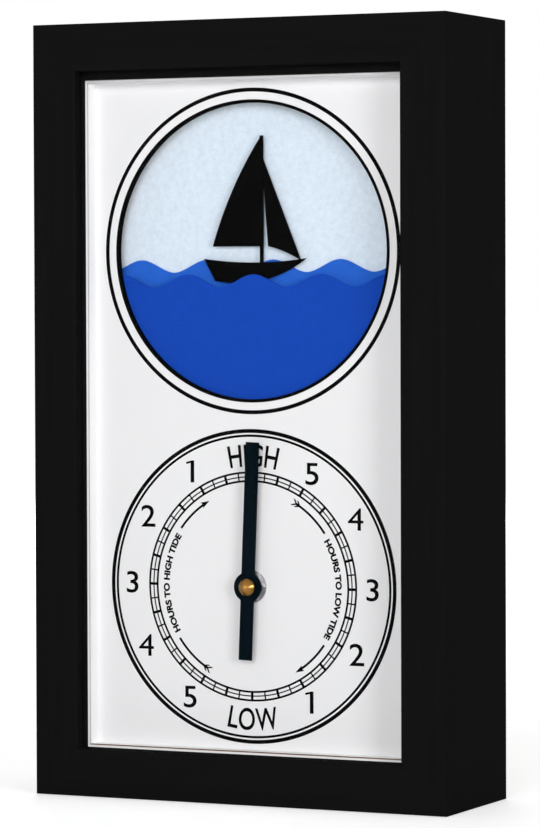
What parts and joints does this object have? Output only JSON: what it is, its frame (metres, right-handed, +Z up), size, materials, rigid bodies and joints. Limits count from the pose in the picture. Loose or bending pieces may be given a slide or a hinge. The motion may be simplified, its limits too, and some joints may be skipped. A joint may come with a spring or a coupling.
{
  "type": "tide clock",
  "caption": "Black box-framed tide clock: a rocking boat picture in a round porthole above a white dial with one tide hand.",
  "frame": {"origin": "under the middle of the case, on the surface that it stands on", "axes": "+Z up, +X to the right of someone facing the dial, +Y from the dial into the case"},
  "size_m": [0.184, 0.0636, 0.3175],
  "materials": {
    "frame_black": "satin black paint on close-grained wood",
    "glass": "clear float glass",
    "fillet_white": "pale satin sheet",
    "dial_white": "white satin print ground",
    "strip_wood": "raw pine",
    "spacer_board": "raw board",
    "sky_paper": "pale mottled paper",
    "sea_card": "royal blue card",
    "swell_card": "blue card",
    "boat_card": "matt black card",
    "hand_black": "matt black paint",
    "brass": "turned and polished",
    "steel": "zinc plated",
    "drive_plastic": "moulded black",
    "movement_plastic": "moulded black",
    "gear_plastic": "moulded natural",
    "knob_plastic": "moulded red",
    "gasket_rubber": "soft black",
    "magnet_steel": "nickel plated",
    "copper_winding": "enamelled wire",
    "circuit_green": "coated board",
    "cell_wrap": "plain printed wrap"
  },
  "bodies": {
    "case": {"aa_cell": "cell_wrap", "aa_contact_negative": "steel", "aa_contact_positive": "steel", "backdrop_screws": "steel", "bush_nut": "steel", "bush_washer": "steel", "c_cell": "cell_wrap", "c_contact_negative": "steel", "c_contact_positive": "steel", "circuit_board": "circuit_green", "dial_fillet": "fillet_white", "dial_plate": "dial_white", "drive_board": "circuit_green", "drive_case": "drive_plastic", "drive_coil": "copper_winding", "drive_cover": "drive_plastic", "drive_cover_screws": "steel", "drive_screws": "steel", "frame_bottom": "frame_black", "frame_left": "frame_black", "frame_right": "frame_black", "frame_top": "frame_black", "front_glass": "glass", "hanger_nails": "steel", "movement_case": "movement_plastic", "movement_cover": "movement_plastic", "movement_gasket": "gasket_rubber", "movement_screws": "steel", "picture_spacer": "spacer_board", "quartz_crystal": "steel", "retainer_bottom": "strip_wood", "retainer_left": "strip_wood", "retainer_right": "strip_wood", "retainer_top": "strip_wood", "sawtooth_hanger": "steel", "sea_cutout": "sea_card", "sky_backdrop": "sky_paper", "spacer_bottom": "frame_black", "spacer_left": "frame_black", "spacer_right": "frame_black", "spacer_top": "frame_black", "stator": "steel", "stepper_coil": "copper_winding", "swell_cutout": "swell_card"},
    "hand": {"tide_hand": "hand_black", "hand_nut": "brass", "hand_wheel": "gear_plastic"},
    "motion_work": {"motion_wheel": "gear_plastic"},
    "cannon": {"centre_pinion": "gear_plastic"},
    "setting": {"set_knob": "knob_plastic"},
    "centre": {"centre_wheel": "gear_plastic"},
    "third": {"third_wheel": "gear_plastic"},
    "second": {"second_wheel": "gear_plastic"},
    "stepper": {"rotor": "gear_plastic"},
    "rocker": {"boat_cutout": "boat_card", "rocker_shaft": "steel", "rocker_lever": "drive_plastic", "rocker_magnet": "magnet_steel"}
  },
  "joints": [
    {"name": "hand_spin", "type": "hinge", "parent": "case", "child": "hand", "pos_m": [0, 0, 0.0875], "axis": [0, 1, 0], "continuous": true},
    {"name": "motion_spin", "type": "hinge", "parent": "case", "child": "motion_work", "pos_m": [-0.01039, 0, 0.0935], "axis": [0, 1, 0], "continuous": true},
    {"name": "cannon_spin", "type": "hinge", "parent": "case", "child": "cannon", "pos_m": [0, 0, 0.0875], "axis": [0, 1, 0], "continuous": true},
    {"name": "set_knob_spin", "type": "hinge", "parent": "case", "child": "setting", "pos_m": [-0.00729, 0, 0.10509], "axis": [0, 1, 0], "continuous": true},
    {"name": "second_wheel_spin", "type": "hinge", "parent": "case", "child": "second", "pos_m": [0.00996, 0, 0.10245], "axis": [0, 1, 0], "continuous": true},
    {"name": "rotor_spin", "type": "hinge", "parent": "case", "child": "stepper", "pos_m": [0.02011, 0, 0.10614], "axis": [0, 1, 0], "continuous": true},
    {"name": "third_wheel_spin", "type": "hinge", "parent": "case", "child": "third", "pos_m": [0.01184, 0, 0.09181], "axis": [0, 1, 0], "continuous": true},
    {"name": "centre_wheel_spin", "type": "hinge", "parent": "case", "child": "centre", "pos_m": [0, 0, 0.0875], "axis": [0, 1, 0], "continuous": true},
    {"name": "boat_rock", "type": "hinge", "parent": "case", "child": "rocker", "pos_m": [0, 0, 0.2], "axis": [0, 1, 0], "range_deg": [-7, 7]}
  ],
  "couplings": [
    {"joint": "motion_spin", "follows": "hand_spin", "ratio": -4},
    {"joint": "cannon_spin", "follows": "hand_spin", "ratio": 12},
    {"joint": "set_knob_spin", "follows": "hand_spin", "ratio": 12},
    {"joint": "rotor_spin", "follows": "second_wheel_spin", "ratio": -5},
    {"joint": "third_wheel_spin", "follows": "second_wheel_spin", "ratio": -0.2},
    {"joint": "centre_wheel_spin", "follows": "second_wheel_spin", "ratio": 0.033333}
  ]
}
